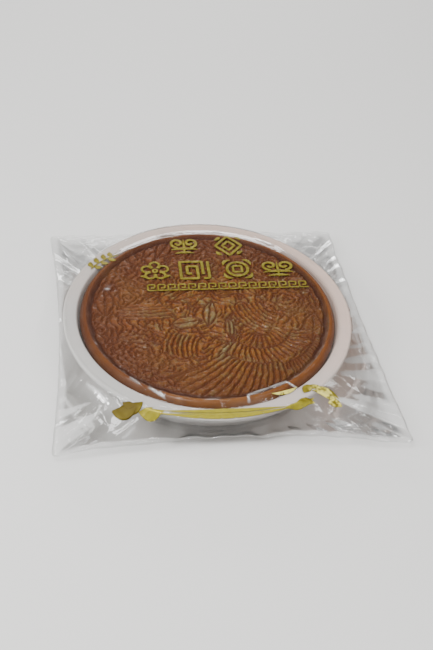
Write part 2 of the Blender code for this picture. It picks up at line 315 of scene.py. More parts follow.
# %% Strokes
DRAWING_TURN = -4.4


def arc(x, y, radius, start, end):
    """Points about a millimetre apart on part of a circle, with angles in degrees."""
    count = max(3, int(abs(math.radians(end - start)) * radius) + 1)
    angle = np.radians(np.linspace(start, end, count))
    return np.column_stack((x + radius * np.cos(angle), y + radius * np.sin(angle)))


def bow(start, end, bulge=0.0, least=3):
    """A line from start to end that bulges to its left by a share of its length."""
    start, end = np.array(start, float), np.array(end, float)
    span = end - start
    share = np.linspace(0, 1, max(least, int(np.hypot(*span)) + 1))[:, None]
    left = np.array((-span[1], span[0]))
    return start + share * span + 4 * bulge * share * (1 - share) * left


def polar(x, y, radius, angle):
    """The point at a radius and an angle in degrees from (x, y)."""
    return np.array((x + radius * math.cos(math.radians(angle)), y + radius * math.sin(math.radians(angle))))


def curl(x, y, size, turn, hand=1, pitch=3.3):
    """A spiral that winds in from its outer radius, as the end of a cloud or the heart of a flower."""
    angle = np.arange(0, 2 * math.pi * (size - 0.8) / pitch, 0.8 / size)
    radius = size - pitch * angle / (2 * math.pi)
    angle = math.radians(turn) + hand * angle
    return np.column_stack((x + radius * np.cos(angle), y + radius * np.sin(angle)))


def waves(points, length, seed, count=20):
    """A smooth random field, mostly between -1 and 1, with waves of about that length."""
    draw = np.random.default_rng(seed)
    total = np.zeros(len(points))
    for _ in range(count):
        heading, phase = draw.uniform(0, 2 * math.pi, 2)
        step = 2 * math.pi / (length * draw.uniform(0.7, 1.5))
        total += np.cos(step * (points @ (math.cos(heading), math.sin(heading))) + phase)
    return total / math.sqrt(count)


def barbs(shaft, reach, pitch, slant):
    """Hair lines that leave both sides of a shaft at a slant, as on a feather or a leaf."""
    steps = np.diff(shaft, axis=0)
    length = np.concatenate(([0], np.cumsum(np.hypot(*steps.T))))
    for at in np.arange(pitch, length[-1], pitch):
        root = np.array([np.interp(at, length, shaft[:, axis]) for axis in (0, 1)])
        step = steps[min(np.searchsorted(length, at), len(steps)) - 1]
        heading = math.degrees(math.atan2(step[1], step[0]))
        for side in (-1, 1):
            yield bow(root, polar(*root, reach(at / length[-1]), heading + side * slant), -0.08 * side)


# %% Areas that a motif covers
def in_sector(x, y, inner, outer, start, end):
    """Whether points lie in a sector of a ring."""
    def inside(points):
        away = points - (x, y)
        radius = np.hypot(away[:, 0], away[:, 1])
        angle = (np.degrees(np.arctan2(away[:, 1], away[:, 0])) - start) % 360
        return (radius > inner) & (radius < outer) & (angle < end - start)
    return inside


def in_oval(x, y, length, width, turn=0.0):
    """Whether points lie in an ellipse of that length and width."""
    turned = math.radians(turn)

    def inside(points):
        away = points - (x, y)
        along = away[:, 0] * math.cos(turned) + away[:, 1] * math.sin(turned)
        across = away[:, 1] * math.cos(turned) - away[:, 0] * math.sin(turned)
        return np.hypot(2 * along / length, 2 * across / width) < 1
    return inside


# %% Feathers and quills
def feathers(x, y, inner, outer, start, end, count, sweep):
    """A fan of long feathers with round inner ends, each swept sideways as it runs out."""
    pitch = (end - start) / count

    def ray(place, first):
        root = polar(x, y, first, start + place * pitch)
        return bow(root, polar(x, y, outer, start + place * pitch + sweep), -sweep / 220)

    cap = math.radians(pitch) * inner / 2
    grooves = [ray(index, inner) for index in range(count + 1)]
    hairs = []
    for index in range(count):
        middle = start + (index + 0.5) * pitch
        grooves.append(arc(*polar(x, y, inner, middle), cap, middle + 95, middle + 265))
        hairs.append(ray(index + 0.5, inner + 0.55 * (outer - inner)))
    return grooves, hairs, in_sector(x, y, inner - cap, outer, start - 2, end + 2)


def quills(x, y, inner, outer, start, end, count):
    """A wing of nested quills, which are arcs about one far centre."""
    grooves = [arc(x, y, radius, start, end) for radius in np.linspace(inner, outer, count)]
    hairs = [
        bow(
            polar(x, y, inner, angle), polar(x, y, outer, angle + 9), 0.1
        ) for angle in np.arange(start, end, 11)
    ]
    return grooves, hairs, in_sector(x, y, inner, outer, start, end)


# %% Petals, peonies and the ground of petals
def petal_ring(x, y, radius, width, turn, draw):
    """One ring of uneven petals about (x, y), which overlap like scales, each with two fine veins."""
    count = max(5, round(2 * math.pi * radius / width))
    sides = turn + (np.arange(count) + draw.uniform(-0.25, 0.25, count)) * 360 / count
    grooves, hairs = [], []
    for start, end in zip(sides, [*sides[1:], sides[0] + 360]):
        notch = radius - 0.42 * width + draw.uniform(-0.9, 0.9)
        grooves.append(
            bow(
                polar(x, y, notch, start), polar(x, y, notch + draw.uniform(-1, 1), end),
                -draw.uniform(0.3, 0.5)
            )
        )
        for share in (0.33, 0.67):
            angle = start + share * (end - start)
            hairs.append(
                bow(polar(x, y, notch + 0.35 * width, angle), polar(x, y, notch - 0.1 * width, angle))
            )
    return grooves, hairs


def peony(x, y, rings, size, turn):
    """Overlapping rings of petals about a small heart, wider towards the outside."""
    draw = np.random.default_rng(rings * 100 + turn)
    grooves, hairs = [], []
    for ring in range(1, rings + 1):
        edge, lines = petal_ring(x, y, size * ring, size * (1.0 + 0.12 * ring), turn + 23 * ring, draw)
        grooves += edge
        hairs += lines
    return grooves, hairs, in_oval(x, y, 2 * size * rings, 2 * size * rings)


def flowing_ground(outer, pitch):
    """Wavy lines that wander round the panel in short strokes, where the other motifs leave room."""
    draw = np.random.default_rng(5)
    grooves = []
    for radius in np.arange(outer, pitch, -pitch):
        ring = arc(0, 0, radius, 0, 360)
        swing = 4.2 * waves(ring, 24, 17) + 1.2 * waves(ring, 9, 19)
        ring = ring * (1 + swing / radius)[:, None]
        at = 0
        while at < len(ring):
            length = int(draw.uniform(5, 15))
            stroke = ring[at:at + length]
            lean = np.linspace(-1, 1, len(stroke))[:, None] * draw.uniform(-1.3, 1.3)
            grooves.append(stroke * (1 + lean / radius))
            at += length + 1
    return grooves, [], in_oval(0, 0, 0.1, 0.1)


# %% Leaves and combs
def leaf(x, y, length, width, turn):
    """A pointed leaf with a midrib and side veins."""
    stem, tip = polar(x, y, -length / 2, turn), polar(x, y, length / 2, turn)
    bulge = width / length / 2
    grooves = [bow(stem, tip, bulge), bow(stem, tip, -bulge), bow(stem, tip)]
    veins = barbs(bow(stem, tip), lambda share: 2.2 * width * share * (1 - share), 3.3, 40)
    return grooves, list(veins), in_oval(x, y, length, width, turn)


def comb(x, y, length, pitch, count, turn, bulge):
    """Lines side by side along the direction turn, such as the down on a neck."""
    def line(place):
        middle = polar(x, y, pitch * place, turn + 90)
        return bow(polar(*middle, -length / 2, turn), polar(*middle, length / 2, turn), bulge)

    half = (count - 1) / 2
    grooves = [line(place - half) for place in range(count)]
    return grooves, [], in_oval(x, y, length * 1.05, pitch * count * 1.05, turn)


def cloud(x, y, size, turn, hand=1):
    """A curled cloud: a spiral head and a tail that trails away beside it."""
    tail = polar(x, y, size * 2.4, turn + hand * 62)
    grooves = [curl(x, y, size, turn, -hand)]
    for shift in (0.0, 3.4):
        grooves.append(bow(polar(x, y, size + shift, turn + hand * 8), tail, 0.22 * hand))
    return grooves, [], in_oval(
        *polar(x, y, size * 0.6, turn + hand * 50), size * 3.3, size * 2.1, turn + hand * 62
    )


# %% The whole drawing, front motifs first
# The four broad leaves in the middle, which the mould leaves smooth: place, length, width and turn
SMOOTH_LEAVES = ((1, -2, 30, 10, 84), (-17, -13, 25, 13, 14), (8, -45, 25, 11, 62), (16, -17, 25, 7, 96))
# Curled clouds between the flowers: place, size, turn and hand
CLOUDS = ((-82, -24, 6, 100, 1), (-71, 61, 6, 40, -1), (80, 45, 6, 120, 1), (-24, 0, 5.5, 200, 1), (-62, 14, 6, 20, 1),
          (-30, -62, 6, 140, -1), (26, 7, 6, 60, -1), (42, 34, 5, 150, 1), (-20, 36, 5.5, 250, 1),
          (25, 58, 5, 300, -1),
          (-75, -52, 5, 30, 1), (-27, -24, 5, 320, -1), (76, 30, 5, 250, -1), (8, 84, 5, 10, 1), (-55, 66, 5, 100, 1))


def motifs():
    yield quills(62, 17, 21, 46, 192, 246, 8)
    yield feathers(38, -14, 43, 90, 229, 291, 13, -9)
    yield feathers(38, -14, 46, 64, 291, 346, 16, -5)
    yield feathers(38, -14, 67, 92, 288, 346, 24, 4)
    yield feathers(38, -14, 27, 40, 226, 350, 17, 5)
    yield feathers(38, -14, 12, 24, 232, 352, 10, -4)
    for shape in SMOOTH_LEAVES:
        grooves, veins, inside = leaf(*shape)
        yield grooves, [], inside
    yield comb(-20, -38, 22, 3.7, 8, 82, 0.10)
    yield comb(-49, -2, 40, 3.5, 5, 4, -0.05)
    yield peony(-52, -48, 6, 4.4, 10)
    yield peony(62, 17, 5, 4.2, 8)
    yield peony(-47, 38, 5, 4.2, 25)
    yield peony(2, 60, 5, 4.2, 40)
    yield peony(51, 57, 5, 4.2, 5)
    yield leaf(-10, -72, 38, 15, 28)
    yield leaf(-20, -86, 34, 11, 168)
    yield leaf(81, -14, 34, 14, 82)
    yield leaf(84, 20, 30, 12, 100)
    yield leaf(22, 33, 34, 13, 14)
    yield leaf(-13, 17, 32, 13, 24)
    yield leaf(-80, 8, 32, 14, 96)
    yield leaf(-34, 77, 32, 12, 66)
    yield leaf(30, 82, 34, 12, 152)
    for x, y, size, turn, hand in CLOUDS:
        yield cloud(x, y, size, turn, hand)
    yield flowing_ground(96, 3.3)


def runs(stroke, allowed):
    """The stretches of a stroke whose points are allowed, without single points."""
    edges = np.flatnonzero(np.diff(np.concatenate(([0], allowed.astype(int), [0]))))
    for first, last in zip(edges[::2], edges[1::2]):
        if last - first > 1:
            yield stroke[first:last]


def drawing():
    """Every groove and every hair line, cut short where a motif in front covers it."""
    turned = math.radians(DRAWING_TURN)
    spin = np.array(((math.cos(turned), math.sin(turned)), (-math.sin(turned), math.cos(turned))))
    claimed, drawn = [], ([], [])
    for *strokes, inside in motifs():
        for lines, group in zip(drawn, strokes):
            for stroke in group:
                free = np.hypot(stroke[:, 0], stroke[:, 1]) < PANEL_RADIUS - 2.0
                for earlier in claimed:
                    free &= ~earlier(stroke)
                lines.extend(piece @ spin for piece in runs(stroke, free))
        claimed.append(inside)
    return drawn


def line_guide(name, lines):
    """A guide object that holds all the strokes as chains of edges at height zero."""
    points, edges = [], []
    for line in lines:
        edges += [(len(points) + step, len(points) + step + 1) for step in range(len(line) - 1)]
        points += [(x * MM, y * MM, 0.0) for x, y in line]
    return guide(name, points, edges)


groove_lines, hair_lines = drawing()
smooth_lines = [
    bow(polar(x, y, -0.33 * long, turn), polar(x, y, 0.33 * long, turn)) for x, y, long, _,
    turn in SMOOTH_LEAVES
]
print(len(groove_lines), "grooves and", len(hair_lines), "hair lines")

# %% [markdown]
# ## The baked crust
# A mooncake's skin is thin, glazed with egg and baked, with darker blotches where the glaze pooled.
# Its grooves are painted darker, partly the glaze's own tone and partly painted shade, and its ridge
# tops paler, partly polish and partly painted highlight. The shape tree stores how deep each point
# lies, and the colour follows that, because noise alone would put the dark tone across the ridges
# as well as in the grooves.

# %% Crust material
def crust_material():
    material, graph = new_material("baked_crust")
    where = graph.add("ShaderNodeTexCoord")["Object"]
    ridge = graph.attribute("ridge")
    hair = graph.attribute("hair")
    shoulder = graph.attribute("shoulder")
    smooth = graph.attribute("smooth")
    rim = graph.attribute("rim")
    broad = graph.noise(where, 26, 3, 0.55, 1.0)
    mottle = graph.noise(where, 150, 3, 0.62, 2.0)
    speckle = graph.noise(where, 400, 2, 0.5, 12.0)
    grain = graph.noise(where, 900, 3, 0.6, 3.0)
    x, y = where.part(0), where.part(1)
    out = (x * x + y * y) ** 0.5 * (1 / (PANEL_RADIUS * MM))
    # Painted shade with a painted film reflection: darker purple-brown towards the back left edge of the panel
    back_left_painted_shade = out.ramp(0.25, 0.95) * (y * 6 - x * 7 + 0.4 + broad).ramp(0.2, 1.3)

    # Tops of the ridges in two browns and random tone patches, with painted shade near the rim
    tops = graph.blend(mottle.ramp(0.38, 0.62), (0.266, 0.083, 0.008), (0.250, 0.114, 0.015))
    green, red = (graph.noise(where, scale, 3, 0.6, seed) for scale, seed in ((330, 21.0), (270, 22.0)))
    tops = graph.blend(green.ramp(0.50, 0.68, 0.0, 0.7), tops, (0.175, 0.140, 0.036))
    tops = graph.blend(red.ramp(0.52, 0.70, 0.0, 0.7), tops, (0.220, 0.046, 0.013))
    patches = graph.noise(where, 95, 2, 0.5, 31.0).ramp(0.53, 0.61, 0.0, 0.75)
    tops = graph.blend(patches * mottle.ramp(0.4, 0.55), tops, (0.200, 0.162, 0.058))
    tops = graph.blend(back_left_painted_shade * 0.85, tops, (0.166, 0.058, 0.028))
    # Painted sheen: the smooth leaves are painted paler green-grey
    tops = graph.blend(smooth * mottle.ramp(0.35, 0.6, 0.4, 1.0), tops, (0.215, 0.185, 0.080))
    # Painted light: the ridge tops are painted paler as lit, partly polish, and the grooves near black-brown as shade,
    # partly the glaze's own tone
    polish_and_painted_light = ridge * (1 - hair * 0.6) * mottle.ramp(0.2, 0.8, 0.6, 1.0) * speckle.ramp(0.35, 0.65, 0.55, 1.0)
    panel = graph.blend(polish_and_painted_light, (0.063, 0.0175, 0.0055), tops)
    # Painted shade: darker towards the panel's edge, most at the front right
    panel = graph.blend(
        (out + (x - y * 0.6) * 0.8).ramp(0.62, 1.05, 0.0, 0.5), panel, (0.060, 0.0190, 0.0080)
    )
    # Painted light on the shoulder: darker on the left, paler on the right and paler still at the front, with random
    # darker mottling
    shoulder_with_painted_light = graph.blend(
        (x * 5 + 0.5 + (broad - 0.5) * 2).ramp(0, 1), (0.100, 0.031, 0.009), (0.166, 0.050, 0.007)
    )
    shoulder_with_painted_light = graph.blend((y * -1).ramp(0.070, 0.095, 0.0, 0.8), shoulder_with_painted_light, (0.190, 0.068, 0.010))
    shoulder_with_painted_light = graph.blend(mottle.ramp(0.45, 0.7, 0.0, 0.5), shoulder_with_painted_light, (0.085, 0.028, 0.011))
    # Painted shade: the border groove round the panel, and the inner wall of the rim, painted near black-brown
    panel = graph.blend(rim * 0.92, panel, (0.032, 0.0090, 0.0045))
    base = graph.blend(shoulder, panel, shoulder_with_painted_light)
    toned = graph.blend(grain.ramp(0.35, 0.75, 0.0, 0.30), base, (0.060, 0.020, 0.008))
    toned = graph.blend(broad.ramp(0.5, 0.75, 0.0, 0.35), toned, (0.134, 0.060, 0.016))
    bump = graph.add("ShaderNodeBump", None, {"Strength": 0.5, "Distance": 0.0003, "Height": grain + mottle})
    shader = graph.add("ShaderNodeBsdfPrincipled", None, {
        "Base Color": toned,
        "Roughness": grain.ramp(0.2, 0.8, 0.40, 0.60) - polish_and_painted_light * 0.08,
        "Specular IOR Level": 0.12,
        "Coat Weight": (speckle.ramp(0.5, 0.72) * ridge + shoulder * 0.15) * 0.55,
        "Coat Roughness": 0.16,
        "Normal": bump[0],
    })
    surface(graph, shader[0])
    return material


crust = crust_material()
print("crust nodes:", len(crust.node_tree.nodes))

# %% [markdown]
# ## The cake as one tree
# The pressed top follows a rule: every point rises with its distance from the nearest groove. A
# square grid is wrapped to a disc so that its cells keep their size, the nearest groove is found
# with Geometry Proximity, and the edge is then extruded ring by ring over the shoulder and down
# the side. A little noise bends the lines as dough does.

# %% Cake tree
CAKE_VALUES = {
    "Panel Radius": PANEL_RADIUS * MM,
    "Scallop Depth": 1.3 * MM,
    "Scallops": 34,
    "Groove Height": (CAKE_TOP - 1.8) * MM,
    "Ridge Height": CAKE_TOP * MM,
    "Ridge Half Width": 1.5 * MM,
    "Hair Depth": 0.6 * MM,
    "Hair Half Width": 0.8 * MM,
    "Unevenness": 0.9 * MM,
    "Waver": 2.3 * MM,
    "Cells Across": 278,
    "Seed": 7.0,
}


def disc_wrap(graph, u, v):
    """Takes the square from -1 to 1 to the unit disc, square ring by square ring."""
    wide = abs(u).calc("GREATER_THAN", abs(u), abs(v))
    first = v / u * (math.pi / 4)
    second = math.pi / 2 - u / v * (math.pi / 4)
    radius = u * wide + v * (1 - wide)
    angle = first * wide + second * (1 - wide)
    return radius * angle.calc("COSINE", angle), radius * angle.calc("SINE", angle)


def cake_profile():
    """Radius and height of each ring below the panel: rim, rounded shoulder, side and foot."""
    rings = [(RIM_RADIUS - 0.7, CAKE_TOP - 0.1), (RIM_RADIUS, CAKE_TOP)]
    for angle in np.radians(np.arange(78, -1, -13)):
        rings.append((RIM_RADIUS + 4.7 * math.cos(angle), CAKE_TOP - 6.5 + 6.5 * math.sin(angle)))
    return rings + [(CAKE_RADIUS - 1.5, 12.0), (CAKE_RADIUS - 3.0, 4.5), (CAKE_RADIUS - 4.9, cake_low.z)]


def make_cake(material):
    values = {**CAKE_VALUES, "Grooves": line_guide("groove_lines", groove_lines)}
    values |= {
        "Hairs": line_guide("hair_lines", hair_lines), "Smooth": line_guide("smooth_lines", smooth_lines),
        "Crust": material
    }
    graph, given = shape_tree("pressed_cake", values)
    cells = given["Cells Across"] + 1
    grid = graph.add("GeometryNodeMeshGrid", None, {0: 2.0, 1: 2.0, 2: cells, 3: cells})["Mesh"]
    place = graph.add("GeometryNodeInputPosition")[0]
    x, y = disc_wrap(graph, place.part(0), place.part(1))
    flat = graph.moved(grid, graph.vector(x, y, 0))

    reach = graph.add("ShaderNodeVectorMath", {"operation": "LENGTH"}, {0: place})["Value"]
    turn = place.calc("ARCTAN2", place.part(1), place.part(0))
    lobe = turn.calc("SINE", turn * given["Scallops"] / 2)
    scallop = (1 - abs(lobe)) * given["Scallop Depth"] * reach ** 14
    scaled = graph.scaled(place, given["Panel Radius"] - scallop)
    share = graph.stored(flat, "reach", reach)
    sized = graph.moved(share, scaled)

    drift = graph.add(
        "ShaderNodeTexNoise", {"noise_dimensions": "4D"},
        {"Vector": place, "W": given["Seed"], "Scale": 120.0, "Detail": 3.0, "Roughness": 0.62}
    )["Color"]
    offset = graph.vectors("SUBTRACT", drift, (0.5, 0.5, 0.5))
    offset = graph.scaled(offset, given["Waver"] * 2)
    looked = graph.vectors("MULTIPLY_ADD", offset, (1.0, 1.0, 0.0), place)

    def clear_of(name, width):
        lines = graph.add("GeometryNodeObjectInfo", None, {"Object": given[name]})["Geometry"]
        near = graph.add(
            "GeometryNodeProximity", {"target_element": "EDGES"},
            {"Geometry": lines, "Sample Position": looked}
        )
        return near["Distance"] / width

    uneven = graph.noise(place, 70, 3, 0.6, given["Seed"]).ramp(0.3, 0.7, 0.72, 1.5)
    clear = clear_of("Grooves", given["Ridge Half Width"] * uneven).ramp(0, 1, kind="LINEAR")
    ridge = clear.ramp(0.0, 0.9)
    hair = clear_of("Hairs", given["Hair Half Width"]).ramp(0, 1, 1, 0) * clear.ramp(0.15, 0.5)
    reach = graph.add("GeometryNodeInputNamedAttribute", None, {"Name": "reach"})["Attribute"]
    edge = reach.ramp(0.970, 0.986)
    wave = graph.noise(place, 190, 3, 0.6, given["Seed"]).ramp(0.32, 0.68)
    grain = graph.noise(place, 400, 2, 0.5, given["Seed"])
    deep = given["Ridge Height"] - given["Groove Height"]
    high = given["Groove Height"] + deep * ridge - hair * given["Hair Depth"]
    high = high - wave * given["Unevenness"] * ridge - grain.ramp(0.3, 0.7) * 0.00030
    height = high * (1 - edge) + (given["Groove Height"] - 0.0006) * edge
    up = graph.vector(place.part(0), place.part(1), height)

    shape = sized
    smooth = clear_of("Smooth", 0.006).ramp(0.2, 1.0, 1.0, 0.0)
    # Values the crust paints by: the ridge share, lower where the ridges sink, for painted light on the tops; rim for
    # painted shade in the border groove; smooth for a painted sheen on the smooth leaves
    wear_and_painted_light = ridge * (1 - wave * 0.5)
    for name, value in (
        ("ridge", wear_and_painted_light), ("hair", hair), ("smooth", smooth), ("rim", edge), ("shoulder", 0.0)
    ):
        shape = graph.stored(shape, name, value)
    shape = graph.moved(shape, up)

    faces = graph.add("GeometryNodeInputMeshEdgeNeighbors")["Face Count"]
    rim = 1.5 - faces
    for index, (radius, z) in enumerate(cake_profile()):
        grown_on = graph.add(
            "GeometryNodeExtrudeMesh", {"mode": "EDGES"},
            {"Mesh": shape, "Selection": rim.over(0) if index == 0 else rim, "Offset Scale": 0.0}
        )
        rim = grown_on["Top"]
        out = graph.vectors("MULTIPLY", place, (1.0, 1.0, 0.0))
        out = graph.vectors("NORMALIZE", out)
        wobble = graph.noise(out, 7, 3, 0.6, index * 0.35).ramp(
            0.25, 0.75, 0.0, 0.00028 if index > 1 else 0.0
        )
        ring = graph.scaled(out, radius * MM - wobble)
        ring = graph.vectors("ADD", ring, (0.0, 0.0, z * MM))
        shape = graph.moved(grown_on["Mesh"], ring, Selection=rim)
        # The inner wall of the rim takes about half the painted groove shade
        for name, value in (
            ("ridge", 1.0), ("rim", 0.45 if index == 0 else 0.0), ("shoulder", 0.0 if index == 0 else 1.0)
        ):
            shape = graph.stored(shape, name, value, Selection=rim)
    closing = graph.add(
        "GeometryNodeExtrudeMesh", {"mode": "EDGES"}, {"Mesh": shape, "Selection": rim, "Offset Scale": 0.0}
    )
    middle = graph.vector(0.0, 0.0, cake_low.z * MM)
    shape = graph.moved(closing["Mesh"], middle, Selection=closing["Top"])
    shape = graph.add("GeometryNodeMergeByDistance", None, {"Geometry": shape, "Distance": 0.00001})[0]
    shape = graph.smoothed(shape)
    piece = grown("mooncake_crust", graph, values, shape, given["Crust"])
    for name in ("Grooves", "Hairs", "Smooth"):
        bpy.data.objects.remove(values[name])
    return piece


cake = make_cake(crust)

# %% [markdown]
# ## The tray
# The tray is formed from one thin sheet of milky plastic, and it is round, so one profile turned
# about the axis gives all of it. A small tree does what a lathe does: it takes a grid of angles
# by profile points, and puts each point at its own radius and height.

# %% Profile of the tray
def rounded(corners, cut, steps=4):
    """A chain of (radius, height) corners with each inner corner turned into a short curve."""
    path = [np.array(corners[0], float)]
    for before, corner, after in zip(corners, corners[1:], corners[2:]):
        before, corner, after = (np.array(point, float) for point in (before, corner, after))
        away = [
            side / np.hypot(*side) * min(cut, 0.45 * np.hypot(*side)) for side in (before - corner, after - corner)
        ]
        for share in np.linspace(0, 1, steps):
            path.append(corner + (1 - share) ** 2 * away[0] + share ** 2 * away[1])
    return path + [np.array(corners[-1], float)]


def tray_profile():
    """The tray's section, from the middle of its underside round the lip to the middle of its floor."""
    outer, top = TRAY_RADIUS, TRAY_TOP
    under = [(0, 0), (60, 0), (61.2, 1.2), (63.8, 1.2), (65, 0), (95, 0), (97.6, 2.2)]
    lip = [(101.8, top - 1.4), (outer - 0.8, top - 1.1), (outer - 0.8, top - 3.6), (outer, top - 3.6)]
    lip += [(outer, top - 0.9), (outer - 0.9, top), (outer - 2.4, top), (outer - 2.9, top - 0.25)]
    inside = [(102.9, top - 0.25), (102.4, top), (101.9, top), (101, top - 1), (96.7, 2.6), (94.6, 0.8)]
    floor = [(65.5, 0.8), (64.3, 2), (60.7, 2), (59.5, 0.8), (0, 0.8)]
    return rounded(under + lip + inside + floor, 0.7)


print("tray profile points:", len(tray_profile()))


# %% Lathe tree
def turned_piece(name, profile, steps, material):
    """Turns a profile of (radius, height) points in millimetres about the upright axis."""
    outline = guide(name + "_outline", [(radius * MM, 0.0, z * MM) for radius, z in profile], [])
    values = {"Outline": outline, "Steps Around": steps, "Points Along": len(profile), "Finish": material}
    graph, given = shape_tree("lathe", values)
    turn = 2 * math.pi
    columns = given["Steps Around"] + 1
    grid = graph.add(
        "GeometryNodeMeshGrid", None,
        {0: turn, 1: given["Points Along"] - 1, 2: columns, 3: given["Points Along"]}
    )["Mesh"]
    place = graph.add("GeometryNodeInputPosition")[0]
    index = place.part(1) + (given["Points Along"] - 1) / 2 + 0.5
    points = graph.add("GeometryNodeObjectInfo", None, {"Object": given["Outline"]})["Geometry"]
    here = graph.add("GeometryNodeInputPosition")[0]
    spot = graph.add(
        "GeometryNodeSampleIndex", {"data_type": "FLOAT_VECTOR"},
        {"Geometry": points, "Value": here, "Index": index}
    )[0]
    angle = place.part(0)
    radius = spot.part(0)
    ring = graph.vector(
        radius * angle.calc("COSINE", angle), radius * angle.calc("SINE", angle), spot.part(2)
    )
    shape = graph.moved(grid, ring)
    shape = graph.add("GeometryNodeMergeByDistance", None, {"Geometry": shape, "Distance": 0.000005})[0]
    shape = graph.smoothed(shape)
    piece = grown(name, graph, values, shape, given["Finish"])
    bpy.data.objects.remove(outline)
    return piece


# %% Tray material
def tray_material():
    material, graph = new_material("milky_plastic")
    where = graph.add("ShaderNodeTexCoord")["Object"]
    cloud = graph.noise(where, 22, 2, 0.5, 4.0)
    scuff = graph.noise(where, 600, 2, 0.6, 5.0)
    # Painted reflection: the plastic is painted warmer and pinker towards the back right, as if it mirrored warm
    # surroundings, and stays cool grey at the front left
    side = where.part(0) * 3.2 + where.part(1) * 2.2 + 0.5 + (cloud - 0.5) * 0.5
    base = graph.blend(side.ramp(0.0, 1.0), (0.53, 0.52, 0.50), (0.65, 0.51, 0.44))
    bump = graph.add(
        "ShaderNodeBump", None, {"Strength": 0.25, "Distance": 0.0002, "Height": cloud * 3 + scuff * 0.3}
    )
    shader = graph.add("ShaderNodeBsdfPrincipled", None, {
        "Base Color": base,
        "Roughness": scuff.ramp(0.2, 0.8, 0.30, 0.42),
        "Subsurface Weight": 0.25,
        "Subsurface Radius": (0.004, 0.004, 0.004),
        "Subsurface Scale": 1.0,
        "Normal": bump[0],
    })
    surface(graph, shader[0])
    return material


milky = tray_material()
tray = turned_piece("tray_shell", tray_profile(), 256, milky)

# %% [markdown]
# ## The film bag
# The film is a flat tube of clear plastic with a sealed edge. It lies tight over the cake and the
# flange, drops over the lip, and goes slack towards the corners, where it puckers into folds that
# catch the light. The bag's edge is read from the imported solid. Each fold is a short line with a
# height and a width, and the shell is lofted through rings that run from the middle outwards.

# %% The sealed edge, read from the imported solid
SECTORS = 600
FILM_GAP = 0.32
SEAL_WIDTH = 6.0
LIP_EDGE = 112.3  # where the taut film ends and the slack film starts
SLACK_START = 112.4  # the first ring of the slack film
FOOT_REACH = 98.4  # the foot of the tray, from where the lower film rises
UNDERSIDE = -0.15  # height of the film under the tray


def packed_edge():
    """Angle, reach and height of the bag's edge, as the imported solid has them."""
    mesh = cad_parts["film_bag"].data
    spots = np.array([tuple(corner.co / MM) for corner in mesh.vertices])
    reach = np.hypot(spots[:, 0], spots[:, 1])
    angle = np.round(np.arctan2(spots[:, 1], spots[:, 0]), 3)
    edge = []
    for value in np.unique(angle):
        ray = angle == value
        outmost = reach[ray].max()
        if outmost > TRAY_RADIUS + 1.5:
            edge.append((value, outmost, spots[ray & (reach > outmost - 0.3), 2].mean()))
    return np.array(edge)


def softened(values, spread):
    """A closed row of values, each averaged with its neighbours."""
    kernel = np.hanning(2 * spread + 3)[1:-1]
    kernel /= kernel.sum()
    return np.convolve(np.concatenate((values[-spread:], values, values[:spread])), kernel, "valid")


edge = packed_edge()
angles = 2 * math.pi * np.arange(SECTORS) / SECTORS
edge_reach = softened(np.interp(angles, edge[:, 0], edge[:, 1], period=2 * math.pi), 2)
edge_height = softened(np.interp(angles, edge[:, 0], edge[:, 2], period=2 * math.pi), 9)
print(
    "bag edge points:", len(edge), "reach from", round(edge_reach.min(), 1), "to",
    round(edge_reach.max(), 1)
)


# %% Folds
def spot_at(radius, degrees):
    return polar(0, 0, radius, degrees)


def reach_at(degrees):
    return float(np.interp(math.radians(degrees) % (2 * math.pi), angles, edge_reach, period=2 * math.pi))


def corner_folds(draw):
    """Long folds that fan from the tray into each slack corner."""
    for quarter in range(4):
        rays = np.arange(quarter * 90 - 180, quarter * 90 - 90, 0.5)
        corner = rays[int(np.argmax([reach_at(ray) for ray in rays]))]
        for _ in range(14):
            start = corner + draw.uniform(-42, 42)
            end = corner + (start - corner) * draw.uniform(0.25, 0.95) + draw.uniform(-4, 4)
            first = TRAY_RADIUS + draw.uniform(0.5, 16)
            last = 112 + (reach_at(end) - 112) * draw.uniform(0.45, 0.98)
            tall = draw.uniform(0.4, 1.5) * draw.choice((1, 1, -0.7))
            yield spot_at(first, start), spot_at(last, end), draw.uniform(1.0, 2.0), draw.uniform(2.0, 4.5), tall
        for _ in range(6):
            turn = corner + draw.uniform(-20, 20)
            out = 112 + (reach_at(turn) - 112) * draw.uniform(0.3, 0.85)
            swing = draw.uniform(5, 11) * draw.choice((-1, 1))
            tall = draw.uniform(0.4, 1.1) * draw.choice((1, -1))
            yield spot_at(out, turn), spot_at(out + draw.uniform(-12, 12), turn + swing), 1.6, 2.6, tall


def side_folds(draw):
    """Short folds where the film drops steeply from the lip to a near side of the bag."""
    for _ in range(90):
        turn = draw.uniform(-180, 180)
        reach = reach_at(turn)
        if reach < 140:
            end = turn + draw.uniform(-3, 3)
            yield spot_at(109.5, turn), spot_at(reach, end), 0.9, draw.uniform(1.2, 2.4), draw.uniform(0.25, 1.1)


def flange_folds(draw):
    """Tight little creases over the flange, some across it and some along it."""
    for _ in range(64):
        turn = draw.uniform(-180, 180)
        end = turn + draw.uniform(-6, 6)
        tall = draw.uniform(0.10, 0.38)
        yield spot_at(draw.uniform(95, 102), turn), spot_at(111.5, end), 0.9, draw.uniform(1.1, 1.9), tall
    for _ in range(30):
        turn = draw.uniform(-180, 180)
        radius = draw.uniform(95, 110)
        end = turn + draw.uniform(5, 15)
        tall = draw.uniform(0.12, 0.42)
        yield spot_at(radius, turn), spot_at(radius + draw.uniform(-2.5, 2.5), end), 1.0, 1.0, tall


def cake_folds(draw):
    """Faint long creases where the film lies on the cake."""
    for _ in range(12):
        start, end = draw.uniform(-80, 80, 2), draw.uniform(-80, 80, 2)
        if np.hypot(*start) < 84 and np.hypot(*end) < 84:
            yield start, end, draw.uniform(1.5, 3.0), draw.uniform(1.5, 3.0), draw.uniform(0.10, 0.28)
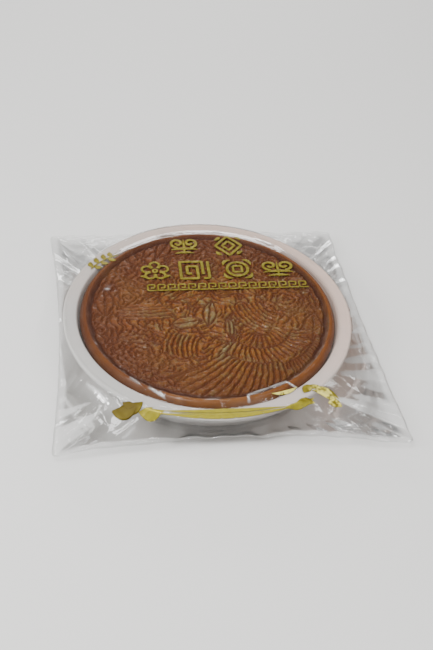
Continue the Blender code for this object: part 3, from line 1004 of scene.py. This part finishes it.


# Marked creases: start, end, the half width at each, the height, and how strongly the crease is painted white as a
# glint
MARKED_FOLDS = (
    ((19.0, -98.5), (19.0, -91.0), 1.1, 1.1, 0.6, 0.9),
    ((18.6, -91.6), (35.8, -85.4), 1.2, 1.1, 0.9, 0.8),
    ((35.0, -85.6), (48.8, -79.7), 1.1, 1.2, 0.9, 0.9),
    ((48.2, -79.6), (56.5, -86.0), 1.2, 1.1, 0.8, 0.9),
    ((-64.5, -69.6), (-56.8, -77.0), 1.2, 1.0, 0.7, 0.7),
    ((-52.0, -79.6), (-41.5, -88.8), 1.0, 2.0, 0.9, 0.9),
    ((-44.0, -84.0), (-40.5, -91.0), 1.3, 1.3, 0.5, 0.8),
    ((-13.5, -94.4), (0.0, -94.0), 1.6, 1.4, 0.4, 0.15),
    ((-80.0, 24.0), (-76.0, 29.0), 1.1, 0.9, 0.6, 0.8),
    ((-76.0, 29.0), (-70.0, 40.0), 0.9, 0.8, 0.5, 0.4),
    ((-58.0, 77.0), (-34.0, 91.0), 1.2, 1.2, 0.6, 0.8),
    ((12.0, 100.0), (24.0, 98.0), 1.5, 1.5, 0.6, 1.0),
    ((-9.0, 98.0), (-2.0, 96.0), 1.3, 1.3, 0.4, 0.6),
    ((48.0, 90.0), (64.0, 79.0), 1.5, 1.5, 0.7, 0.9),
    ((64.0, 79.0), (80.0, 61.0), 1.3, 1.1, 0.5, 0.5),
    ((-112.0, 85.0), (-86.0, 90.0), 1.4, 1.2, 1.2, 0.8),
    ((-104.0, 108.0), (-90.0, 94.0), 1.3, 1.2, 1.0, 0.8),
    ((88.0, 80.0), (109.0, 95.0), 1.8, 2.6, 1.6, 1.0),
    ((-96.0, -68.0), (-80.0, -90.0), 2.4, 3.6, 1.6, 0.9),
    ((110.0, -22.0), (117.0, -60.0), 1.2, 1.4, 1.2, 0.35),
    ((68.0, -86.5), (86.0, -93.0), 1.2, 1.5, 0.8, 0.6),
    ((-72.0, -113.0), (-62.0, -106.0), 1.8, 1.8, 1.0, 0.6),
    ((84.0, -108.0), (97.0, -112.0), 1.8, 2.4, 1.2, 0.6),
)


def fold_field(points, folds):
    """What all the folds add to the height of the film, how creased it is and how strongly it is painted white as a
    glint.
    """
    lift, crease, painted_glint = (np.zeros(len(points)) for _ in range(3))
    for start, end, width, wider, tall, *white in folds:
        start, span = np.array(start), np.array(end) - np.array(start)
        length = np.hypot(*span)
        away = points - start
        along = (away @ span) / length ** 2
        across = np.abs(away[:, 0] * span[1] - away[:, 1] * span[0]) / length
        side = np.clip(1 - across / (width + (wider - width) * np.clip(along, 0, 1)), 0, 1)
        fade = np.clip(4 * along * (1 - along), 0, 1) ** 0.5
        lift += tall * side ** 1.5 * fade
        crease += min(abs(tall), 1.2) * side ** 3 * fade
        painted_glint += sum(white) * side ** 1.5 * fade
    return lift, crease, np.clip(painted_glint, 0, 1)


draw = np.random.default_rng(23)
all_folds = [*corner_folds(draw), *side_folds(draw), *flange_folds(draw), *cake_folds(draw), *MARKED_FOLDS]
print("folds in the film:", len(all_folds))


# %% Heights of the upper and lower film
DRAPE = ((0, CAKE_TOP + FILM_GAP), (92.6, CAKE_TOP + FILM_GAP), (94.8, CAKE_TOP + FILM_GAP - 0.05),
         (102.8, TRAY_TOP + 0.55), (108, TRAY_TOP + FILM_GAP), (LIP_EDGE, TRAY_TOP + 0.1))


def crinkles(points, length, seed, count=8):
    """Flat facets that meet in straight creases, as in film that has been handled."""
    draw = np.random.default_rng(seed)
    total = np.zeros(len(points))
    for _ in range(count):
        heading = draw.uniform(0, 2 * math.pi)
        place = points @ (math.cos(heading), math.sin(heading)) / (length * draw.uniform(0.7, 1.6))
        place += 0.12 * waves(points, 3 * length, seed + 1, 6) + draw.uniform(0, 1)
        total += np.abs(4 * (place % 1) - 2) - 1
    return total / math.sqrt(count)


def upper_film(points, share, seal):
    """Height of the upper film. share runs from 0 at the lip to 1 at the seal."""
    radius = np.hypot(points[:, 0], points[:, 1])
    table = np.arange(0, 113, 0.1)
    level = np.interp(table, *np.array(DRAPE).T)
    level = np.convolve(np.pad(level, 12, "edge"), np.hanning(25) / np.hanning(25).sum(), "valid")
    taut = np.interp(radius, table, level)
    taut += 0.05 * (1 + waves(points, 17, 3)) * np.clip((radius - 4) / 20, 0, 1) * (radius < 112)
    slack = seal + (TRAY_TOP - seal) * (1 - share) ** 1.25
    room = np.clip((radius - TRAY_RADIUS) / 30, 0, 1)
    slack += (
        0.8 * waves(points, 44, 5) + 0.9 * crinkles(points, 28, 31) + 0.3 * crinkles(points, 12, 41)
    ) * room * np.sin(math.pi * share)
    lift, crease, painted_glint = fold_field(points, all_folds)
    outside = radius > LIP_EDGE
    height = np.where(outside, slack, taut) + lift * np.where(outside, 1 - share ** 6, 1)
    return height, crease, painted_glint


def lower_film(points, share, seal):
    """Height of the lower film, from the tray's foot at share 0 to the seal at share 1."""
    room = 16 * (share * (1 - share)) ** 2
    return UNDERSIDE + (seal + 0.05) * share ** 1.3 + room * 0.3 * crinkles(points, 30, 9)


# %% Loft the bag
def ring_points(radius):
    return np.column_stack((radius * np.cos(angles), radius * np.sin(angles)))


def bag_rings():
    """Every ring of the closed shell, from the middle of the top round the seal to the underside."""
    every = np.ones(SECTORS)
    seal_z = edge_height + 0.8 * waves(ring_points(edge_reach), 22, 13)
    inner = edge_reach - np.minimum(SEAL_WIDTH, (edge_reach - LIP_EDGE) / 3)
    for radius in [*np.arange(2.4, 84, 2.4), *np.arange(85, 112.2, 1.2)]:
        points = ring_points(radius * every)
        yield points, *upper_film(points, 0 * every, seal_z), 0 * every
    for share in np.linspace(0, 1, 54):
        points = ring_points(SLACK_START + (inner - SLACK_START) * share)
        height, crease, painted_glint = upper_film(points, share * every, seal_z + 0.1)
        yield points, np.maximum(height, seal_z + 0.1), crease, painted_glint, share ** 30 * every
    for share, lift in ((0.5, 0.08), (1.0, 0.0), (0.5, -0.08)):
        yield ring_points(inner + (edge_reach - inner) * share), seal_z + lift, 0 * every, 0 * every, every
    for share in np.linspace(1, 0, 14):
        points = ring_points(FOOT_REACH + (inner - FOOT_REACH) * share)
        yield points, lower_film(
            points, share * every, seal_z - 0.1
        ), 0 * every, 0 * every, share ** 30 * every
    for radius in (80, 60, 40, 20, 8):
        yield ring_points(radius * every), UNDERSIDE * every, 0 * every, 0 * every, 0 * every


def lofted_bag(material):
    """Joins the rings into one closed shell, with a point at each end of the axis."""
    rings = list(bag_rings())
    places = np.vstack([np.column_stack((points, height)) for points, height, *_ in rings])
    places = np.vstack((places, (0, 0, CAKE_TOP + FILM_GAP), (0, 0, UNDERSIDE))) * MM
    crease, painted_glint, sealed = (
        np.concatenate([ring[field] for ring in rings] + [(0, 0)]) for field in (2, 3, 4)
    )
    radius = np.hypot(places[:, 0], places[:, 1]) / MM
    loose = np.clip((radius - PANEL_RADIUS - 3) / 4 + crease + painted_glint, 0, 1)
    nose, tail = len(places) - 2, len(places) - 1
    faces = []
    for step in range(SECTORS):
        after = (step + 1) % SECTORS
        faces.append((nose, step, after))
        for ring in range(0, SECTORS * (len(rings) - 1), SECTORS):
            faces.append((ring + step, ring + SECTORS + step, ring + SECTORS + after, ring + after))
        last = SECTORS * (len(rings) - 1)
        faces.append((last + step, tail, last + after))
    mesh = bpy.data.meshes.new("bag_film")
    mesh.from_pydata(places.tolist(), [], faces)
    for name, values in (("crease", crease), ("painted_glint", painted_glint), ("sealed", sealed), ("loose", loose)):
        mesh.attributes.new(name, "FLOAT", "POINT").data.foreach_set("value", values.astype(np.float32))
    mesh.shade_smooth()
    rim = [SECTORS * ring for ring in range(len(rings)) if (rings[ring][4] == 1).all()][1]
    on_rim = [all(rim <= corner < rim + SECTORS for corner in line.vertices) for line in mesh.edges]
    mesh.attributes.new("sharp_edge", "BOOLEAN", "EDGE").data.foreach_set("value", on_rim)
    mesh.materials.append(material)
    piece = bpy.data.objects.new("bag_film", mesh)
    bpy.context.scene.collection.objects.link(piece)
    print("bag_film has", 2 * len(faces) - 2 * SECTORS, "triangles")
    return piece


# %% [markdown]
# ## Clear film
# Clear film is mostly seen by what it mirrors. The surface lets nearly all light through, mirrors
# more of it at a glancing angle, and is faintly milky where it is creased, rubbed or sealed. The
# marked creases are painted milky white as painted glints. A solid glass would bend the view like a
# thick block, so the film is a mix of clear, mirror and milk.

# %% Film material
def film_material():
    material, graph = new_material("clear_film")
    where = graph.add("ShaderNodeTexCoord")["Object"]
    crease = graph.attribute("crease")
    painted_glint = graph.attribute("painted_glint")
    sealed = graph.attribute("sealed")
    loose = graph.attribute("loose")
    rub = graph.noise(where, 30, 4, 0.6, 6.0)
    fine = graph.noise(where, 260, 3, 0.6, 7.0)
    crimp = (where.part(0) + where.part(1)) * 2600
    crimp = crimp.calc("SINE", crimp) * sealed
    bump = graph.add(
        "ShaderNodeBump", None,
        {"Strength": 0.22, "Distance": 0.0004, "Height": fine + rub * 2 + crimp * 0.06}
    )
    mirror = graph.add("ShaderNodeFresnel", None, {"IOR": 1.5, "Normal": bump[0]})[0]
    gloss = graph.add("ShaderNodeBsdfPrincipled", None, {
        "Base Color": (0.95, 0.95, 0.95), "Metallic": 1.0,
        "Roughness": rub.ramp(0.3, 0.7, 0.045, 0.10) + painted_glint * 0.33, "Normal": bump[0],
    })
    milk = graph.add("ShaderNodeBsdfPrincipled", None, {"Base Color": (0.93, 0.92, 0.90), "Roughness": 0.45})
    clear = graph.add("ShaderNodeBsdfTransparent", None, {"Color": (0.985, 0.985, 0.985)})
    # Painted glint: the marked creases are painted milky white whatever the light, besides mirroring more
    haze = (rub.ramp(0.45, 0.80, 0.0, 0.03) + crease * 0.06) * loose + painted_glint * 0.4 + sealed * 0.04
    seen = mirror * (0.12 + 0.78 * loose) * (1 - sealed * 0.6) + painted_glint * 0.7
    glassy = graph.add("ShaderNodeMixShader", None, {0: seen, 1: clear[0], 2: gloss[0]})
    film = graph.add("ShaderNodeMixShader", None, {0: haze, 1: glassy[0], 2: milk[0]})
    surface(graph, film[0])
    return material


film_look = film_material()
film = lofted_bag(film_look)

# %% [markdown]
# ## Gold print
# The film carries a line of gold ornaments over the cake, a row of small frets under them, a
# sprig at the upper left and a ribbon with leaves along the front. All of it is drawn with a broad
# pen: every stroke is a path with a half width at each point. A tree then turns the strokes to
# flat ribbons and drops them onto the film, so that they follow each crease.

# %% Pen strokes
def pen(points, width, leafy=False):
    """A stroke of the pen: its points with the half width at each, pointed at both ends if leafy."""
    points = np.array(points, float)
    steps = np.hypot(*np.diff(points, axis=0).T)
    at = np.concatenate(([0], np.cumsum(steps))) / steps.sum()
    half = width / 2 * (np.sin(math.pi * np.clip(at, 0.03, 0.97)) ** 0.8 if leafy else np.ones(len(at)))
    return np.column_stack((points, half))


def boxed(strokes, x, y, width, height):
    """Strokes drawn in a box from -1 to 1, moved and stretched to their place."""
    for points, pen_width, leafy in strokes:
        yield pen(np.array(points, float) * (width / 2, height / 2) + (x, y), pen_width, leafy)


# %% Ornaments, each in a box from -1 to 1
def chain(*corners):
    """A line of straight strokes through corners."""
    return np.vstack([bow(start, end, 0, 8) for start, end in zip(corners, corners[1:])])


def fret_square():
    """A square spiral, the oldest border pattern there is, with a bar beside it."""
    yield chain(
        (0.55, -0.5), (0.55, 0.95), (-0.95, 0.95), (-0.95, -0.95), (0.2, -0.95), (0.2, 0.4), (-0.5, 0.4),
        (-0.5, -0.4), (-0.2, -0.4)
    ), 2.5, False
    yield chain((0.95, 0.95), (0.95, -0.95), (0.55, -0.95)), 2.5, False


def cloud_scroll():
    """Two curls that rise from two base lines."""
    for side in (-1, 1):
        turns = np.radians(np.linspace(-90, 360, 48))
        shrink = np.linspace(0.52, 0.10, 48)
        spiral = np.column_stack((np.cos(turns) * shrink, np.sin(turns) * shrink)) * (side, 1)
        yield spiral + (side * 0.46, 0.30), 2.5, False
    yield bow((-0.95, -0.45), (0.95, -0.45), 0.07, 12), 3.0, True
    yield bow((-0.7, -0.85), (0.7, -0.85), 0.07, 12), 2.6, True
    yield bow((0, -0.95), (0, 0.75), 0, 12), 2.2, True


def lattice():
    """A diamond in a diamond, with a bud at each corner and a bar across."""
    for size, width in ((0.95, 2.4), (0.45, 2.2)):
        yield chain((0, size), (size, 0), (0, -size), (-size, 0), (0, size)), width, False
    for x in (-0.76, 0.76):
        for y in (-0.76, 0.76):
            yield bow((x * 0.7, y * 1.2), (x * 1.25, y * 0.75), 0.1, 8), 3.6, True


def blossom():
    """Five round petals about a small ring, with a leaf on each side."""
    yield arc(0, 0, 8, 0, 360) * 0.018, 1.8, False
    for turn in range(90, 450, 72):
        yield arc(0, 0, 8, turn - 152, turn + 152) * 0.038 + polar(0, 0, 0.56, turn), 2.1, False
    for side in (-1, 1):
        yield bow((side * 0.45, -0.75), (side * 0.98, -0.5), 0.12 * side, 8), 3.0, True


def coin():
    """A ring with a square window, as on an old coin, and four petals round it."""
    yield arc(0, 0, 8, 0, 360) * 0.088, 2.5, False
    yield chain((-0.3, 0.3), (0.3, 0.3), (0.3, -0.3), (-0.3, -0.3), (-0.3, 0.3)), 2.1, False
    for turn in (45, 135, 225, 315):
        yield bow(polar(0, 0, 1.02, turn - 22), polar(0, 0, 1.02, turn + 22), -0.25, 10), 3.0, True


def sprig():
    """A bent stem with pairs of leaves."""
    stem = bow((-0.95, -0.8), (0.8, 0.6), 0.10, 20)
    yield stem, 1.4, False
    for place, side in ((0.12, 1), (0.26, -1), (0.38, 1), (0.52, -1), (0.64, 1), (0.78, -1), (0.88, 1)):
        root = stem[int(place * (len(stem) - 1))]
        yield bow(root, root + ((-0.16, 0.62) if side > 0 else (0.42, -0.46)), 0.14 * side, 8), 4.6, True


# %% Where the print goes, in millimetres
print_strokes = []
for ornament, x, y, width, height in (
    (cloud_scroll, -12, 80, 23, 23), (lattice, 25, 79, 23, 26),
    (blossom, -38, 48.6, 25, 25), (fret_square, -6, 48.6, 24, 22),
    (coin, 29, 48.6, 24, 24), (cloud_scroll, 62, 48.6, 26, 22),
    (sprig, -77, 64, 25, 22),
):
    print_strokes += boxed(ornament(), x, y, width, height)

# A running fret: hooks that stand side by side on one base line
FRET_START, FRET_STEP, FRET_COUNT, FRET_Y = -42.0, 8.1, 16, 28.0
for index in range(FRET_COUNT):
    x = FRET_START + FRET_STEP * index
    hook = [(4.4, -3.4), (-3.0, -3.4), (-3.0, 3.4), (2.4, 3.4), (2.4, -0.6), (-0.6, -0.6)]
    print_strokes.append(pen(np.vstack([bow(*pair) for pair in zip(hook, hook[1:])]) + (x, FRET_Y), 1.3))

# The ribbon along the front, with leaves and a knot at each end
for start, end, bulge, width in (
    ((-43, -101.6), (47, -102.0), -0.027, 3.4), ((-45, -103.4), (47, -102.8), -0.068, 4.2),
    ((-38, -103.4), (40, -104.0), -0.042, 1.5),
    ((45, -102.6), (67, -93.6), -0.06, 4.6), ((36.5, -90.4), (56, -84.2), -0.10, 3.2),
):
    print_strokes.append(pen(bow(start, end, bulge), width, True))
for x, y, turn, length, width in (
    (-69.5, -95.6, 178, 17, 10), (-62.5, -94.8, 200, 13, 7.5), (-66, -92.5, 160, 9, 5.0),
    (-50.5, -100.2, 172, 18, 6.0), (-54, -98.5, 185, 9, 3.5),
    (77, -92.5, -24, 23, 5.0), (77.5, -88.5, -20, 19, 4.0), (83, -96.0, -8, 10, 6.0),
    (69, -85.4, -10, 12, 4.5), (64, -86.4, 40, 10, 7.0), (60, -98.5, 14, 15, 5.0),
):
    ends = polar(x, y, -length / 2, turn), polar(x, y, length / 2, turn)
    print_strokes.append(pen(bow(*ends, 0.12), width, True))
print("pen strokes in the print:", len(print_strokes))


# %% Print tree: ribbons dropped onto the film
PRINT_VALUES = {"Step": 1.3 * MM, "Lift": 0.07 * MM, "Thickness": 0.05 * MM, "Points Across": 14}


def pen_guide(strokes):
    """A curve object with one spline for each stroke, and the half widths as its radii."""
    curves = bpy.data.curves.new("pen_strokes", "CURVE")
    curves.dimensions = "3D"
    for stroke in strokes:
        spline = curves.splines.new("POLY")
        spline.points.add(len(stroke) - 1)
        for point, (x, y, half) in zip(spline.points, stroke):
            point.co = (x * MM, y * MM, 0.0, 1.0)
            point.radius = half
    thing = bpy.data.objects.new("pen_strokes", curves)
    bpy.context.scene.collection.objects.link(thing)
    return thing


def printed(strokes, film, material):
    values = {**PRINT_VALUES, "Strokes": pen_guide(strokes), "Film": film, "Ink": material}
    graph, given = shape_tree("print_on_film", values)
    paths = graph.add("GeometryNodeObjectInfo", None, {"Object": given["Strokes"]})["Geometry"]
    paths = graph.add(
        "GeometryNodeResampleCurve", {"mode": "LENGTH"}, {"Curve": paths, "Length": given["Step"]}
    )[0]
    paths = graph.add("GeometryNodeSetCurveNormal", {"mode": "Z_UP"}, {"Curve": paths})[0]
    nib = graph.add(
        "GeometryNodeCurvePrimitiveQuadrilateral", None, {"Width": 2 * MM, "Height": 0.04 * MM}
    )[0]
    nib = graph.add(
        "GeometryNodeResampleCurve", {"mode": "COUNT"}, {"Curve": nib, "Count": given["Points Across"]}
    )[0]
    half = graph.add("GeometryNodeInputRadius")[0]
    flat = graph.add(
        "GeometryNodeCurveToMesh", None,
        {"Curve": paths, "Profile Curve": nib, "Scale": half, "Fill Caps": True}
    )[0]
    place = graph.add("GeometryNodeInputPosition")[0]
    above = graph.vectors("ADD", place, (0.0, 0.0, 0.2))
    ground = graph.add("GeometryNodeObjectInfo", None, {"Object": given["Film"]})["Geometry"]
    ray = {
        "Target Geometry": ground, "Source Position": above, "Ray Direction": (0.0, 0.0, -1.0),
        "Ray Length": 1.0
    }
    hit = graph.add("GeometryNodeRaycast", None, ray)["Hit Position"]
    height = hit.part(2) + given["Lift"] + place.part(2).over(0.0) * given["Thickness"]
    draped = graph.vector(place.part(0), place.part(1), height)
    shape = graph.moved(flat, draped)
    shape = graph.smoothed(shape)
    piece = grown("gold_ornaments", graph, values, shape, given["Ink"])
    bpy.data.objects.remove(values["Strokes"])
    return piece


# %% Gold ink
def ink_material():
    material, graph = new_material("gold_ink")
    where = graph.add("ShaderNodeTexCoord")["Object"]
    wear_and_painted_light = graph.noise(where, 320, 3, 0.6, 8.0)
    pooled = graph.noise(where, 45, 2, 0.5, 9.0)
    base = graph.blend(wear_and_painted_light.ramp(0.3, 0.7), (0.145, 0.112, 0.005), (0.255, 0.208, 0.018))
    base = graph.blend(pooled.ramp(0.5, 0.7, 0.0, 0.5), base, (0.13, 0.105, 0.006))

    def near(x, y, reach):
        """1 about a spot given in millimetres, and 0 beyond its reach."""
        away = graph.vectors("SUBTRACT", where, (x * MM, y * MM, 0.0))
        across, along = away.part(0), away.part(1)
        return ((across * across + along * along) ** 0.5).ramp(0.5 * reach * MM, reach * MM, 1.0, 0.0)

    # Painted shade on the ribbon's left knot, which is also made duller, and painted highlights on the bow at the
    # right and on a gold stroke over the shoulder
    dull_and_painted_shade = near(-70, -96, 16)
    painted_highlight = near(79, -91, 18) * wear_and_painted_light.ramp(0.40, 0.58) + near(46, -87, 13) * wear_and_painted_light.ramp(0.35, 0.5)
    base = graph.blend(where.part(1).ramp(-0.096, -0.099) * 0.4, base, (0.500, 0.440, 0.045))
    base = graph.blend(dull_and_painted_shade * pooled.ramp(0.35, 0.55, 0.55, 1.0), base, (0.085, 0.058, 0.001))
    base = graph.blend(painted_highlight, base, (0.74, 0.66, 0.15))
    shader = graph.add("ShaderNodeBsdfPrincipled", None, {
        "Base Color": base, "Metallic": 0.4 - dull_and_painted_shade * 0.3,
        "Roughness": wear_and_painted_light.ramp(0.2, 0.8, 0.30, 0.5) + dull_and_painted_shade * 0.2, "Specular IOR Level": 0.2,
    })
    surface(graph, shader[0])
    return material


gold = ink_material()
ornaments = printed(print_strokes, film, gold)

# %% [markdown]
# ## Floor and lights
# Clear film and glaze are seen by what they mirror, so the lights matter as much as the materials.
# One broad lamp from above and in front lights the cake, a low one behind rims the film, and small
# ones give the sparks on its creases. Large even panels would veil the cake behind the flat film,
# so the place that it mirrors to the camera stays dark. The floor is plain and pale.

# %% Floor and soft lights
FLOOR_HALF = 3
FLOOR_LEVEL = -0.0006


def plain_floor():
    """A wide pale sheet just under the bag."""
    mesh = bpy.data.meshes.new("floor")
    corners = ((-1, -1), (1, -1), (1, 1), (-1, 1))
    mesh.from_pydata([(x * FLOOR_HALF, y * FLOOR_HALF, FLOOR_LEVEL) for x, y in corners], [], [(0, 1, 2, 3)])
    floor = bpy.data.objects.new("floor", mesh)
    bpy.context.scene.collection.objects.link(floor)
    material, graph = new_material("pale_floor")
    shader = graph.add(
        "ShaderNodeBsdfPrincipled", None, {"Base Color": (0.72, 0.715, 0.70), "Roughness": 0.7}
    )
    surface(graph, shader[0])
    mesh.materials.append(material)


# Each lamp: name, azimuth and elevation in degrees, distance, width and height in metres, and watts
LAMPS = (
    ("overhead", -38, 63, 1.5, 0.5, 0.5, 22),
    ("high_back", 168, 67, 1.5, 0.7, 0.08, 2.0),
    ("low_back", 176, 17, 1.4, 0.8, 0.18, 6),
    ("left_side", -75, 32, 1.4, 0.45, 0.45, 11),
    ("right_spark", 58, 54, 1.5, 0.22, 0.22, 3.0),
    ("left_spark", -93, 60, 1.5, 0.25, 0.25, 3.0),
    ("far_spark", 110, 48, 1.5, 0.20, 0.20, 2.0),
)
WORLD_COLOUR = (1.0, 0.99, 0.975, 1.0)
WORLD_STRENGTH = 0.54


def softbox(name, azimuth, elevation, distance, width, height, power):
    """An area light that looks at the pack from the given direction."""
    turn, rise = math.radians(azimuth), math.radians(elevation)
    away = Vector((math.sin(turn) * math.cos(rise), -math.cos(turn) * math.cos(rise), math.sin(rise)))
    lamp = bpy.data.lights.new(name, "AREA")
    lamp.shape = "RECTANGLE"
    lamp.size, lamp.size_y, lamp.energy = width, height, power
    light = bpy.data.objects.new(name, lamp)
    bpy.context.scene.collection.objects.link(light)
    light.location = away * distance
    light.rotation_mode = "QUATERNION"
    light.rotation_quaternion = (-away).to_track_quat("-Z", "Y")


plain_floor()
for lamp in LAMPS:
    softbox(*lamp)
world = bpy.data.worlds.new("studio")
bpy.context.scene.world = world
world.use_nodes = True
world.node_tree.nodes["Background"].inputs["Color"].default_value = WORLD_COLOUR
world.node_tree.nodes["Background"].inputs["Strength"].default_value = WORLD_STRENGTH
print("soft lights:", len(LAMPS))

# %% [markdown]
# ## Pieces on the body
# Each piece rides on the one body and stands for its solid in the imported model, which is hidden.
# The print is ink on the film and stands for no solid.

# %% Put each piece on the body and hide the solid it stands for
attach(cake, "root")
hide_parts("mooncake")
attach(tray, "root")
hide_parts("tray")
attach(film, "root")
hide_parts("film_bag")
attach(ornaments, "root")
